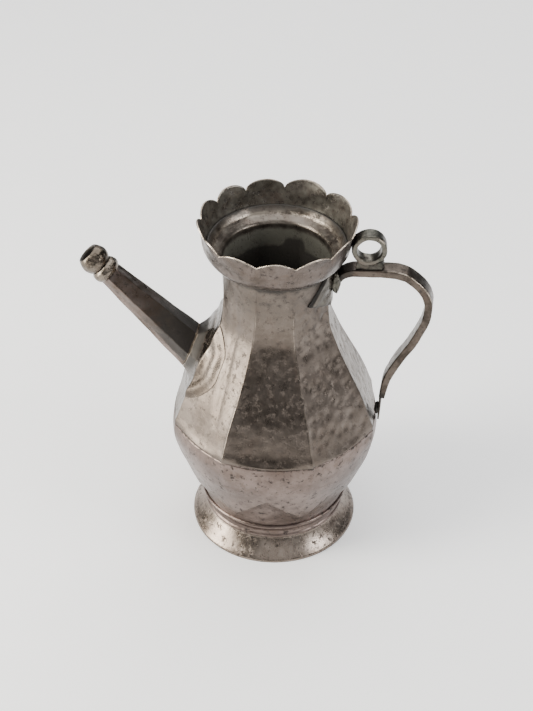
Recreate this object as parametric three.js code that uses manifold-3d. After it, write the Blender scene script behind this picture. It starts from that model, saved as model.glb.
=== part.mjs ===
// A hand-raised, tinned copper water ewer: an eight-sided pear body on a flared foot, a scalloped
// pouring collar, a straight six-sided spout with a ball mouth, and a strap handle that carries a
// hinge eye. Millimetres, +Z up, handle towards +X, spout towards -X, foot standing on z = 0.
import * as THREE from "three";
import { mergeVertices } from "three/addons/utils/BufferGeometryUtils.js";
import Module from "manifold-3d";

const wasm = await Module();
wasm.setup();

// ---- driving dimensions ------------------------------------------------------------------
const AXIS_X = 14.5; // the vessel's axis, so that the box round the whole ewer is centred on x = 0
const WALL = 1.6; // raised copper sheet
const GAP = 0.3; // clearance left at every soldered joint
const ROUND = 40; // steps round the vessel

const FOOT_R = 59;
const FOOT_RIM = 5; // width of the flat rim that the ewer stands on
const FOOT_WAIST_R = 48.4;
const FOOT_WAIST_Z = 16;
const BAND_TOP_Z = 28;
const BOWL_FLOOR_Z = 22;

const GIRTH_R = 72.9; // the widest line, where the bowl and the shoulder are lapped and soldered
const GIRTH_Z = 100;
const LAP = 5; // how far the shoulder's edge reaches down inside the bowl
const LAP_THICK = 1.2;

const NECK_R = 37.8;
const NECK_TOP_Z = 226;
const COLLAR_Z = 228.3; // lower edge of the scalloped collar
const COLLAR_R = 40.6;
const CUSP_R = 50.3; // collar radius at the notches between the scallops
const CUSP_Z = 250.3;
// Degrees from the handle to each notch: the scallops were cut by eye, so they aren't quite even.
const NOTCHES = [8, 38, 68, 98, 129, 155, 182, 209, 237, 268, 304, 338];
const SCALLOP_RISE = 6;
const SCALLOP_LEAN = 2.4; // how far a scallop's crown leans out past the notches

const PANELS = 8;
const RIDGE_TURN = THREE.MathUtils.degToRad(108.5); // one panel ridge, turned from the handle

const SPOUT_ROOT = new THREE.Vector2(58.2, 144.9); // distance from the vessel's axis, and height
const SPOUT_RISE = THREE.MathUtils.degToRad(45);
const SPOUT_LENGTH = 79;
const SPOUT_ROOT_R = 15.2; // over the corners of the six-sided tube
const SPOUT_TIP_R = 8.4;
const SPOUT_TWIST = THREE.MathUtils.degToRad(7);
const SPOUT_WALL = 1.5;
const WATER_WAY_R = 12; // the hole cut through the body behind the spout
const ROOT_CUT_TILT = THREE.MathUtils.degToRad(25); // the tube's foot leans back along the shoulder
const BEAD_LENGTH = 8;
const BEAD_R = 9.9;
const MOUTH_LENGTH = 12.6;
const MOUTH_R = 10.2;
const MOUTH_BORE_R = 6.2;

const STRAP_WIDTH = 12;
const STRAP_THICK = 5.7;
const EYE_R = 11.7;
const EYE_BORE_R = 8.2;
const EYE_LENGTH = 10;
const EYE_CENTRE = new THREE.Vector2(62, 240.9);
const EYE_TURN = THREE.MathUtils.degToRad(8); // the eye was set a little askew to the strap

// ---- colours of the tinned metal, part by part ---------------------------------------------
const TIN = { color: 0xb5a9a3, roughness: 0.38, metalness: 0.9 };
const WORN_TIN = { color: 0xc3b6ae, roughness: 0.34, metalness: 0.9 };
const DARK_TIN = { color: 0x8d837c, roughness: 0.42, metalness: 0.9 };
const PATINA = { color: 0x84837b, roughness: 0.55, metalness: 0.8 };
const SOLDER = { color: 0x9fa29c, roughness: 0.5, metalness: 0.85 };

const ewer = new THREE.Group();
const vessel = new THREE.Group();
vessel.position.x = AXIS_X;
ewer.add(vessel);

function addPart(name, geometry, finish) {
  const mesh = new THREE.Mesh(geometry, new THREE.MeshStandardMaterial(finish));
  mesh.name = name;
  vessel.add(mesh);
  return mesh;
}

// ---- solids ----------------------------------------------------------------------------------

/** Six times the volume that a triangle soup encloses; negative when its faces look inwards. */
function signedVolume(points, faces) {
  let sum = 0;
  for (let i = 0; i < faces.length; i += 3) {
    const [a, b, c] = [points[faces[i]], points[faces[i + 1]], points[faces[i + 2]]];
    sum += a.dot(new THREE.Vector3().crossVectors(b, c));
  }
  return sum;
}

function geometryFrom(points, faces) {
  if (signedVolume(points, faces) < 0) faces.reverse();
  const geometry = new THREE.BufferGeometry().setFromPoints(points);
  geometry.setIndex(faces);
  return geometry;
}

/**
 * Skins a row of rings, each with the same number of points, into one closed solid. A looped row
 * joins its last ring to its first, which makes a hollow wall; an open row gets two flat ends.
 */
function skin(rings, looped = false) {
  const count = rings[0].length;
  const points = rings.flat();
  const faces = [];
  const bands = looped ? rings.length : rings.length - 1;
  for (let j = 0; j < bands; j++) {
    const lower = j * count;
    const upper = ((j + 1) % rings.length) * count;
    for (let i = 0; i < count; i++) {
      const k = (i + 1) % count;
      faces.push(lower + i, lower + k, upper + k, lower + i, upper + k, upper + i);
    }
  }
  if (!looped) {
    for (const [j, turned] of [[0, true], [rings.length - 1, false]]) {
      const hub = points.length;
      const sum = rings[j].reduce((total, p) => total.add(p), new THREE.Vector3());
      points.push(sum.divideScalar(count));
      for (let i = 0; i < count; i++) {
        const a = j * count + i;
        const b = j * count + ((i + 1) % count);
        faces.push(hub, turned ? b : a, turned ? a : b);
      }
    }
  }
  return geometryFrom(points, faces);
}

function solidFrom(geometry) {
  const bare = new THREE.BufferGeometry();
  bare.setAttribute("position", geometry.getAttribute("position"));
  if (geometry.index) bare.setIndex(geometry.index);
  const merged = mergeVertices(bare, 1e-3);
  return new wasm.Manifold(
    new wasm.Mesh({
      numProp: 3,
      vertProperties: new Float32Array(merged.getAttribute("position").array),
      triVerts: new Uint32Array(merged.index.array),
    }),
  );
}

function geometryOf(solid) {
  const mesh = solid.getMesh();
  const geometry = new THREE.BufferGeometry();
  geometry.setAttribute("position", new THREE.BufferAttribute(mesh.vertProperties, 3));
  geometry.setIndex(new THREE.BufferAttribute(mesh.triVerts, 1));
  return geometry;
}

/** The largest piece that a cut leaves, so that no crumbs are kept. */
function largest(solid) {
  return solid.decompose().reduce((a, b) => (a.volume() > b.volume() ? a : b));
}

// ---- the vessel's section ----------------------------------------------------------------------

/** Height against mean radius, joined by a curve that doesn't overshoot. */
function profileCurve(stops) {
  const slopes = stops.slice(1).map(([z, r], i) => (r - stops[i][1]) / (z - stops[i][0]));
  const tangents = stops.map((_, i) => {
    if (i === 0) return slopes[0];
    if (i === stops.length - 1) return slopes[i - 1];
    const product = slopes[i - 1] * slopes[i];
    return product > 0 ? (2 * product) / (slopes[i - 1] + slopes[i]) : 0;
  });
  return (z) => {
    let i = 0;
    while (i < stops.length - 2 && z > stops[i + 1][0]) i++;
    const [z0, r0] = stops[i];
    const [z1, r1] = stops[i + 1];
    const t = THREE.MathUtils.clamp((z - z0) / (z1 - z0), 0, 1);
    const h = z1 - z0;
    return (
      r0 * (2 * t ** 3 - 3 * t ** 2 + 1) +
      h * tangents[i] * (t ** 3 - 2 * t ** 2 + t) +
      r1 * (3 * t ** 2 - 2 * t ** 3) +
      h * tangents[i + 1] * (t ** 3 - t ** 2)
    );
  };
}

const bodyRadius = profileCurve([
  [BOWL_FLOOR_Z, 46.6],
  [24, 49],
  [30, 51.3],
  [40, 56.6],
  [60, 64.4],
  [78, 70.6],
  [92, 72.9],
  [GIRTH_Z, GIRTH_R - 1.3],
  [108, 69],
  [125, 62.5],
  [145, 53],
  [165, 43.9],
  [185, 37.6],
  [205, NECK_R - 1],
  [NECK_TOP_Z, NECK_R],
]);

/** How much of a full eight-sided section the wall has at a height: 0 is round, 1 is flat panels. */
const panelShare = profileCurve([
  [30, 0],
  [70, 0.2],
  [GIRTH_Z - 3, 0.45],
  [GIRTH_Z + 4, 1],
  [178, 1],
  [200, 0.6],
  [NECK_TOP_Z, 0],
]);

/** Radius of the wall at an angle from the handle, with each ridge proud and each panel flattened. */
function wallRadius(angle, z, inset = 0) {
  const step = (2 * Math.PI) / PANELS;
  const turn = THREE.MathUtils.euclideanModulo(angle - RIDGE_TURN, step) - step / 2;
  const flat = Math.cos(step / 2) / Math.cos(turn);
  const mean = 0.5 * (1 + Math.cos(step / 2));
  return bodyRadius(z) * (1 + panelShare(z) * (flat - mean)) - inset;
}

/** One ring of the body: the angle runs from the handle round by the side that faces -Y. */
function bodyRing(z, inset = 0) {
  return Array.from({ length: ROUND }, (_, i) => {
    const angle = RIDGE_TURN + (2 * Math.PI * i) / ROUND;
    const r = wallRadius(angle, z, inset);
    return new THREE.Vector3(r * Math.cos(angle), -r * Math.sin(angle), z);
  });
}

function roundRing(r, z) {
  return Array.from({ length: ROUND }, (_, i) => {
    const angle = RIDGE_TURN + (2 * Math.PI * i) / ROUND;
    return new THREE.Vector3(r * Math.cos(angle), -r * Math.sin(angle), z);
  });
}

/** A round piece from a closed outline of [radius, height] pairs. */
function turned(outline) {
  const profile = [...outline, outline[0]].map(([r, z]) => new THREE.Vector2(r, z));
  return new THREE.LatheGeometry(profile, ROUND).rotateX(Math.PI / 2);
}

// ---- the spout's own frame -----------------------------------------------------------------------
const spoutAlong = new THREE.Vector3(-Math.cos(SPOUT_RISE), 0, Math.sin(SPOUT_RISE));
const spoutSide = new THREE.Vector3(0, -1, 0);
const spoutOver = new THREE.Vector3(Math.sin(SPOUT_RISE), 0, Math.cos(SPOUT_RISE));

function spoutCentre(s) {
  return new THREE.Vector3(-SPOUT_ROOT.x, 0, SPOUT_ROOT.y).addScaledVector(spoutAlong, s);
}

/** A point at a distance along the spout, an angle round it from the -Y side, and a radius. */
function spoutPoint(s, angle, r) {
  return spoutCentre(s)
    .addScaledVector(spoutSide, r * Math.cos(angle))
    .addScaledVector(spoutOver, r * Math.sin(angle));
}

const tubeRadius = (s) => THREE.MathUtils.lerp(SPOUT_ROOT_R, SPOUT_TIP_R, s / SPOUT_LENGTH);

/** Radius of a six-sided section, over its corners, at an angle. */
function sixSided(angle, r) {
  const step = Math.PI / 3;
  const turn = THREE.MathUtils.euclideanModulo(angle - SPOUT_TWIST, step) - step / 2;
  return (r * Math.cos(step / 2)) / Math.cos(turn);
}

/** One six-sided ring of the tube; lean tips the ring back about the spout's centre line. */
function tubeRing(s, inset, lean, count) {
  return Array.from({ length: count }, (_, i) => {
    const angle = SPOUT_TWIST + (2 * Math.PI * i) / count;
    let at = s;
    let r = sixSided(angle, tubeRadius(at)) - inset;
    for (let pass = 0; pass < 4; pass++) {
      at = s + r * Math.sin(angle) * Math.tan(lean);
      r = sixSided(angle, tubeRadius(at)) - inset;
    }
    return spoutPoint(at, angle, r);
  });
}

/** A round piece on the spout's axis, from a closed outline of [radius, distance along] pairs. */
function turnedOnSpout(outline, count = 32) {
  const rings = outline.map(([r, s]) =>
    Array.from({ length: count }, (_, i) => spoutPoint(s, (2 * Math.PI * i) / count, r)),
  );
  return skin(rings, true);
}

/** The clear way that water takes from the body into the spout. */
function waterWay(r) {
  const ring = (s) =>
    Array.from({ length: 24 }, (_, i) => spoutPoint(s, (2 * Math.PI * i) / 24, r));
  return solidFrom(skin([ring(-40), ring(12)]));
}

// ---- foot ------------------------------------------------------------------------------------------
addPart(
  "foot_skirt",
  turned([
    [FOOT_R, 0],
    [FOOT_R + 0.2, 1.4],
    [FOOT_R - 1.2, 3.4],
    [55, 6.4],
    [51.2, 10.8],
    [FOOT_WAIST_R, FOOT_WAIST_Z - 0.4],
    [FOOT_WAIST_R - WALL, FOOT_WAIST_Z + 0.2],
    [FOOT_WAIST_R - WALL - 0.2, BOWL_FLOOR_Z - GAP],
    [FOOT_WAIST_R - 2 * WALL - 0.2, BOWL_FLOOR_Z - GAP],
    [FOOT_WAIST_R - 2 * WALL - 0.2, FOOT_WAIST_Z],
    [49.4, 10.6],
    [53.2, 5.8],
    [FOOT_R - FOOT_RIM, 2],
    [FOOT_R - FOOT_RIM, 0],
  ]),
  WORN_TIN,
);

addPart(
  "foot_band",
  turned([
    [FOOT_WAIST_R + 0.3, FOOT_WAIST_Z],
    [FOOT_WAIST_R + 1.6, FOOT_WAIST_Z + 1],
    [FOOT_WAIST_R + 1.6, FOOT_WAIST_Z + 2],
    [FOOT_WAIST_R + 0.7, FOOT_WAIST_Z + 3],
    [FOOT_WAIST_R + 1.2, BAND_TOP_Z - 5],
    [FOOT_WAIST_R + 2, BAND_TOP_Z - 2.4],
    [FOOT_WAIST_R + 3.4, BAND_TOP_Z - 1.6],
    [FOOT_WAIST_R + 3.6, BAND_TOP_Z - 0.4],
    [FOOT_WAIST_R + 2.8, BAND_TOP_Z + 0.2],
    [FOOT_WAIST_R + 0.9, 23.4],
    [FOOT_WAIST_R - 1.1, 21.2],
    [FOOT_WAIST_R - 1.1, FOOT_WAIST_Z + 0.2],
  ]),
  WORN_TIN,
);

// ---- bowl and shoulder -------------------------------------------------------------------------------
const lapHeights = [GIRTH_Z - LAP, GIRTH_Z - LAP / 2, GIRTH_Z - GAP / 2];
const bowlHeights = [BOWL_FLOOR_Z, 24, 27, 32, 40, 50, 60, 70, 80, 90, ...lapHeights];
const bowlOuter = bowlHeights.map((z) => bodyRing(z));
const bowlInner = bowlHeights
  .slice(1)
  .reverse()
  .map((z) => bodyRing(z, WALL));
addPart("lower_body", skin([...bowlOuter, ...bowlInner]), TIN);

const shoulderHeights = [GIRTH_Z + GAP / 2, 106, 113, 122, 133, 145, 156, 166, 176, 187, 200, 213];
const lapInset = WALL + 1.5 * GAP;
const neckFlare = [
  [NECK_R, NECK_TOP_Z],
  [38.7, COLLAR_Z + 0.3],
  [39.7, 229.8],
  [43.3, 232.4],
  [45.8, 236.6],
  [44.6, 237],
  [42.7, 233.5],
  [38.9, 231],
  [NECK_R - 1.3, 228.6],
  [NECK_R - WALL, NECK_TOP_Z],
];
const shoulder = solidFrom(
  skin(
    [
      ...shoulderHeights.map((z) => bodyRing(z)),
      ...neckFlare.map(([r, z]) => roundRing(r, z)),
      ...shoulderHeights.toReversed().map((z) => bodyRing(z, WALL)),
      bodyRing(GIRTH_Z - 1, lapInset + LAP_THICK),
      bodyRing(GIRTH_Z - LAP, lapInset + LAP_THICK),
      ...lapHeights.map((z) => bodyRing(z, lapInset)),
      bodyRing(GIRTH_Z + GAP / 2, lapInset),
    ],
    true,
  ),
);
addPart("upper_body", geometryOf(shoulder.subtract(waterWay(WATER_WAY_R))), TIN);

// ---- scalloped collar -----------------------------------------------------------------------------------
const SCALLOP_STEPS = 6;
const COLLAR_STEPS = NOTCHES.length * SCALLOP_STEPS;

/** Angle of one of the collar's steps, which are shared out evenly between each pair of notches. */
function collarAngle(step) {
  const lobe = Math.floor(step / SCALLOP_STEPS);
  const next = lobe + 1 < NOTCHES.length ? NOTCHES[lobe + 1] : NOTCHES[0] + 360;
  const degrees = THREE.MathUtils.lerp(NOTCHES[lobe], next, (step % SCALLOP_STEPS) / SCALLOP_STEPS);
  return THREE.MathUtils.degToRad(degrees);
}

/** One ring of the collar, a share of the way from its lower edge to the scalloped edge. */
function collarRing(share, inset) {
  const flare = profileCurve([
    [0, COLLAR_R],
    [0.12, 44.6],
    [0.34, 47.7],
    [0.65, 49.4],
    [1, CUSP_R],
  ]);
  return Array.from({ length: COLLAR_STEPS }, (_, i) => {
    const across = (i % SCALLOP_STEPS) / SCALLOP_STEPS;
    const crown = Math.sqrt(Math.max(0, 1 - (2 * across - 1) ** 2)) * SCALLOP_RISE;
    const angle = collarAngle(i);
    const height = COLLAR_Z + share * (CUSP_Z - COLLAR_Z) + share ** 3 * crown;
    const lean = share ** 4 * SCALLOP_LEAN * (crown / SCALLOP_RISE);
    const r = flare(share) + lean - inset;
    return new THREE.Vector3(r * Math.cos(angle), -r * Math.sin(angle), height + inset * 0.6);
  });
}
const collarShares = [0, 0.12, 0.34, 0.65, 1];
addPart(
  "rim_collar",
  skin(
    [
      ...collarShares.map((share) => collarRing(share, 0)),
      ...collarShares.toReversed().map((share) => collarRing(share, share === 1 ? 1.2 : 1.3)),
    ],
    true,
  ),
  TIN,
);

// ---- spout -------------------------------------------------------------------------------------------------
const ROOT_S = 1.5; // where the tube's leaning foot crosses the spout's centre line
const ROOT_COUNT = 24;
const PLATE_LIFT = 1.1; // the plate's edge stands this far off the body's wall
const PLATE_SWELL = 2;
const PLATE_DEPTH = 6;
const PLATE_MIDDLE = { z: 147, span: 46, rise: 33 };

/** Half of the root plate's outline: degrees from the spout's plane, and height. */
const rootOutline = [
  [0, 182],
  [24, 178],
  [38, 171],
  [46, 160],
  [46, 146],
  [39, 132],
  [26, 122],
  [0, 116],
];

function rootPlateRing(lift) {
  const mirrored = rootOutline.slice(1, -1).reverse().map(([w, z]) => [-w, z]);
  const loop = [...rootOutline, ...mirrored].map(([w, z]) => new THREE.Vector3(w, z, 0));
  const curve = new THREE.CatmullRomCurve3(loop, true, "centripetal");
  const spaced = curve.getPoints(360);
  return Array.from({ length: ROOT_COUNT }, (_, i) => {
    const aim = SPOUT_TWIST + (2 * Math.PI * i) / ROOT_COUNT;
    const scored = spaced.map((p) => {
      const bearing = Math.atan2((p.y - PLATE_MIDDLE.z) / PLATE_MIDDLE.rise, p.x / PLATE_MIDDLE.span);
      const off = THREE.MathUtils.euclideanModulo(bearing - aim + Math.PI, 2 * Math.PI) - Math.PI;
      return [Math.abs(off), p];
    });
    const best = scored.reduce((a, b) => (a[0] < b[0] ? a : b))[1];
    const angle = Math.PI - THREE.MathUtils.degToRad(best.x);
    const r = wallRadius(angle, best.y) + lift;
    return new THREE.Vector3(r * Math.cos(angle), -r * Math.sin(angle), best.y);
  });
}

/**
 * A ring part of the way from the plate's edge to the tube's foot. Its points are pushed out along
 * their own radius wherever a straight line between the two would dip into the body's wall.
 */
function domeRing(edge, foot, share) {
  return edge.map((p, i) => {
    const q = p.clone().lerp(foot[i], share);
    const r = Math.hypot(q.x, q.y);
    const wall = wallRadius(Math.atan2(-q.y, q.x), q.z);
    const swell = PLATE_LIFT + PLATE_SWELL * Math.sin((Math.PI / 2) * share);
    const out = Math.max(r, wall + swell) / r;
    return new THREE.Vector3(q.x * out, q.y * out, q.z);
  });
}

const plateEdge = rootPlateRing(PLATE_LIFT);
const plateHidden = rootPlateRing(-PLATE_DEPTH);
const tubeFoot = tubeRing(ROOT_S - GAP, 0, ROOT_CUT_TILT, ROOT_COUNT);
const plateSolid = solidFrom(
  skin([
    plateHidden,
    plateEdge,
    ...[0.2, 0.45, 0.7, 0.9].map((share) => domeRing(plateEdge, tubeFoot, share)),
    tubeFoot,
  ]),
);
const bodyCore = solidFrom(
  skin([...bowlHeights.slice(8), ...shoulderHeights].map((z) => bodyRing(z, -GAP))),
);
addPart(
  "spout_root_plate",
  geometryOf(largest(plateSolid.subtract(bodyCore).subtract(waterWay(WATER_WAY_R + 0.4)))),
  TIN,
);

addPart(
  "spout_tube",
  skin(
    [
      tubeRing(ROOT_S, 0, ROOT_CUT_TILT, ROOT_COUNT),
      tubeRing(26, 0, 0, ROOT_COUNT),
      tubeRing(52, 0, 0, ROOT_COUNT),
      tubeRing(SPOUT_LENGTH, 0, 0, ROOT_COUNT),
      tubeRing(SPOUT_LENGTH, SPOUT_WALL, 0, ROOT_COUNT),
      tubeRing(52, SPOUT_WALL, 0, ROOT_COUNT),
      tubeRing(26, SPOUT_WALL, 0, ROOT_COUNT),
      tubeRing(ROOT_S, SPOUT_WALL, ROOT_CUT_TILT, ROOT_COUNT),
    ],
    true,
  ),
  DARK_TIN,
);

const beadStart = SPOUT_LENGTH + GAP;
const beadEnd = beadStart + BEAD_LENGTH;
addPart(
  "spout_bead",
  turnedOnSpout([
    [SPOUT_TIP_R + 0.2, beadStart],
    [BEAD_R - 0.5, beadStart + 1.6],
    [BEAD_R, beadStart + 3.8],
    [BEAD_R - 0.4, beadEnd - 2],
    [BEAD_R - 1.9, beadEnd],
    [MOUTH_BORE_R, beadEnd],
    [MOUTH_BORE_R, beadStart],
  ]),
  TIN,
);

const mouthStart = beadEnd + GAP;
const mouthEnd = mouthStart + MOUTH_LENGTH;
addPart(
  "spout_mouth",
  turnedOnSpout([
    [BEAD_R - 2, mouthStart],
    [MOUTH_R - 0.6, mouthStart + 2.6],
    [MOUTH_R, mouthStart + 5.4],
    [MOUTH_R - 0.3, mouthStart + 8],
    [MOUTH_R - 1.4, mouthEnd - 1.8],
    [MOUTH_R - 2.6, mouthEnd],
    [MOUTH_BORE_R + 0.6, mouthEnd],
    [MOUTH_BORE_R, mouthEnd - 1.2],
    [MOUTH_BORE_R, mouthStart],
  ]),
  TIN,
);

// ---- handle -----------------------------------------------------------------------------------------------------

/**
 * A flat bar carried along a route in the handle's plane. Each stop is distance from the vessel's
 * axis, height, width and thickness; the section is a rectangle with eased edges.
 */
function bar(stops, steps, ease) {
  const route = new THREE.CatmullRomCurve3(
    stops.map(([r, z]) => new THREE.Vector3(r, 0, z)),
    false,
    "centripetal",
  );
  const across = new THREE.Vector3(0, 1, 0);
  const rings = [];
  for (let j = 0; j <= steps; j++) {
    const t = j / steps;
    const place = t * (stops.length - 1);
    const k = Math.min(Math.floor(place), stops.length - 2);
    const width = THREE.MathUtils.lerp(stops[k][2], stops[k + 1][2], place - k);
    const thick = THREE.MathUtils.lerp(stops[k][3], stops[k + 1][3], place - k);
    const outward = new THREE.Vector3().crossVectors(across, route.getTangent(t)).negate();
    const at = route.getPoint(t);
    const corners = [
      [width / 2, thick / 2 - ease],
      [width / 2 - ease, thick / 2],
      [ease - width / 2, thick / 2],
      [-width / 2, thick / 2 - ease],
      [-width / 2, ease - thick / 2],
      [ease - width / 2, -thick / 2],
      [width / 2 - ease, -thick / 2],
      [width / 2, ease - thick / 2],
    ];
    rings.push(
      corners.map(([a, b]) => at.clone().addScaledVector(across, a).addScaledVector(outward, b)),
    );
  }
  return skin(rings);
}

const strapRoute = [
  [40.9, 208.5, STRAP_WIDTH + 2.5, 1.2],
  [42, 214, STRAP_WIDTH + 1.5, 3],
  [45.6, 219.6, STRAP_WIDTH + 0.5, 4.8],
  [53, 222.4, STRAP_WIDTH, STRAP_THICK],
  [64, 223, STRAP_WIDTH, STRAP_THICK],
  [79, 223.8, STRAP_WIDTH, STRAP_THICK],
  [86, 222.3, STRAP_WIDTH, STRAP_THICK],
  [91.8, 218.6, STRAP_WIDTH, STRAP_THICK],
  [97.4, 213.2, STRAP_WIDTH, STRAP_THICK],
  [101.2, 207, STRAP_WIDTH, STRAP_THICK],
  [102.8, 200, STRAP_WIDTH, STRAP_THICK],
  [102.2, 191.5, STRAP_WIDTH, STRAP_THICK],
  [96.4, 173.6, STRAP_WIDTH, STRAP_THICK],
  [82.8, 146.6, STRAP_WIDTH, STRAP_THICK],
  [77.6, 132.9, STRAP_WIDTH - 0.6, STRAP_THICK - 0.4],
  [75.2, 118, STRAP_WIDTH - 1.4, 4],
];
addPart("handle_strap", bar(strapRoute, 48, 0.9), TIN);

const tongueRoute = [
  [74.1, 117.5, 9.6, 1.8],
  [74, 112, 9, 1.8],
  [73.8, 106, 8, 1.7],
  [73.6, 101, 6.6, 1.6],
  [73.4, 96, 4.4, 1.3],
];
addPart("handle_tongue", bar(tongueRoute, 10, 0.4), DARK_TIN);

/** A bar's clearance solid: the same route, wider and thicker by the joint gap on every side. */
function barSpace(stops, steps, ease) {
  const grown = stops.map(([r, z, width, thick]) => [r, z, width + 2 * GAP, thick + 2 * GAP]);
  return solidFrom(bar(grown, steps, ease));
}
const strapSpace = barSpace(strapRoute, 48, 0.9);
const tongueSpace = barSpace(tongueRoute, 10, 0.4);

// The strap's inner end lies on a splayed plate that wraps a quarter of the neck. The spans are
// half its width, in degrees round the neck.
const NECK_PLATE_LIFT = 1.5;
const NECK_PLATE_TOP = { z: 226, span: 38 };
const NECK_PLATE_CORNER = { z: 207, span: 45 };
const NECK_PLATE_POINT_Z = 194.5; // the middle of its lower edge hangs lower than its corners
const NECK_PLATE_COLUMNS = 18;

function neckPlate(inner, outer, spread) {
  const wall = (angle, z, lift) => {
    const r = wallRadius(angle, z) + lift;
    return new THREE.Vector3(r * Math.cos(angle), -r * Math.sin(angle), z);
  };
  const rings = [];
  for (let j = 0; j <= NECK_PLATE_COLUMNS; j++) {
    const across = (2 * j) / NECK_PLATE_COLUMNS - 1;
    const edge = THREE.MathUtils.lerp(NECK_PLATE_POINT_Z, NECK_PLATE_CORNER.z, Math.abs(across));
    const ring = [];
    for (const share of [0, 0.34, 0.67, 1]) {
      const z = THREE.MathUtils.lerp(edge - spread, NECK_PLATE_TOP.z + spread, share);
      const span = THREE.MathUtils.lerp(NECK_PLATE_CORNER.span, NECK_PLATE_TOP.span, share);
      ring.push([THREE.MathUtils.degToRad(across * (span + spread)), z]);
    }
    rings.push([
      ...ring.map(([angle, z]) => wall(angle, z, outer)),
      ...ring.toReversed().map(([angle, z]) => wall(angle, z, inner)),
    ]);
  }
  return skin(rings);
}
const neckCore = solidFrom(
  skin([176, 187, 200, 213, NECK_TOP_Z].map((z) => bodyRing(z, -GAP))),
);
const neckPlateSolid = solidFrom(neckPlate(-1, GAP + NECK_PLATE_LIFT, 0)).subtract(neckCore);
addPart("handle_neck_plate", geometryOf(largest(neckPlateSolid)), TIN);
const neckPlateSpace = solidFrom(neckPlate(0, 2 * GAP + NECK_PLATE_LIFT, GAP));

/** A puddle of solder: an ellipsoid that its neighbours' clearances are cut from. */
function solderPuddle(centre, radii, neighbours) {
  const drop = new THREE.SphereGeometry(1, 14, 10).scale(...radii).translate(...centre);
  return neighbours.reduce((solid, other) => solid.subtract(other), solidFrom(drop));
}

for (const [side, name] of [[-1, "root_solder_near"], [1, "root_solder_far"]]) {
  const puddle = solderPuddle(
    [39, side * 8.6, 215],
    [4.6, 4.6, 8],
    [neckCore, neckPlateSpace, strapSpace],
  );
  addPart(name, geometryOf(largest(puddle)), SOLDER);
}
const tonguePuddle = solderPuddle([72, 0, 98.5], [2.4, 5, 5], [bodyCore, tongueSpace]);
addPart("tongue_solder", geometryOf(largest(tonguePuddle)), SOLDER);

// ---- hinge eye ---------------------------------------------------------------------------------
const half = EYE_LENGTH / 2;
const eyeOutline = [
  [EYE_BORE_R, -half],
  [EYE_R - 0.7, -half],
  [EYE_R, 0.7 - half],
  [EYE_R, half - 0.7],
  [EYE_R - 0.7, half],
  [EYE_BORE_R, half],
  [EYE_BORE_R, -half],
].map(([r, y]) => new THREE.Vector2(r, y));
addPart(
  "hinge_eye",
  new THREE.LatheGeometry(eyeOutline, 32)
    .rotateZ(EYE_TURN)
    .translate(EYE_CENTRE.x, 0, EYE_CENTRE.y),
  PATINA,
);

/** A wedge of solder between the strap's back and one flank of the eye. */
function eyeFoot(outline) {
  const shape = new THREE.Shape(outline.map(([r, z]) => new THREE.Vector2(r, z)));
  const wedge = new THREE.ExtrudeGeometry(shape, { depth: EYE_LENGTH - 1, bevelEnabled: false });
  wedge.rotateX(Math.PI / 2).translate(0, half - 0.5, 0);
  const eyeSpace = new THREE.CylinderGeometry(EYE_R + GAP, EYE_R + GAP, 2 * EYE_LENGTH, 32);
  eyeSpace.rotateZ(EYE_TURN).translate(EYE_CENTRE.x, 0, EYE_CENTRE.y);
  return geometryOf(largest(solidFrom(wedge).subtract(solidFrom(eyeSpace)).subtract(strapSpace)));
}
addPart(
  "eye_foot_inner",
  eyeFoot([[50.2, 224], [60.9, 225], [60.9, 233], [52.6, 234.6], [50.6, 232]]),
  SOLDER,
);
addPart(
  "eye_foot_outer",
  eyeFoot([[61.8, 225], [73.4, 225], [73, 230], [70.6, 233.8], [61.8, 233]]),
  SOLDER,
);

export default ewer;
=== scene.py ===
import math

import bpy
import numpy as np
from mathutils import Matrix, Vector


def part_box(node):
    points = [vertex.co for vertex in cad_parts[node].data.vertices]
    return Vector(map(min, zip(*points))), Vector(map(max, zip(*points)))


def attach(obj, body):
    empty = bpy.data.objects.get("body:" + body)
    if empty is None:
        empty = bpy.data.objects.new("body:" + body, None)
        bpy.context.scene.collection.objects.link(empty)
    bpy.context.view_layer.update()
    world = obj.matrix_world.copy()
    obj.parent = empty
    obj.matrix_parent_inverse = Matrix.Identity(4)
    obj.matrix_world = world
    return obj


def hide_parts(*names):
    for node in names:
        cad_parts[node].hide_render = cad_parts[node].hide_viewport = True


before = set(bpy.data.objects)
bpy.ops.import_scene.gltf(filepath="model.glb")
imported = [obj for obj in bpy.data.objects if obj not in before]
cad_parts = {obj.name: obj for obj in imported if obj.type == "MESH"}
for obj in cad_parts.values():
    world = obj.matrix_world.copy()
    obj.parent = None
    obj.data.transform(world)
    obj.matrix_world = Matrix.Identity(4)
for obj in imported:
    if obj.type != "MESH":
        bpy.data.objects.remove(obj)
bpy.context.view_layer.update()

MM = 0.001
TURN = 2 * math.pi


def cad_span(node):
    """A CAD node's lowest and highest corner in millimetres."""
    return [np.array(corner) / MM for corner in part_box(node)]


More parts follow.
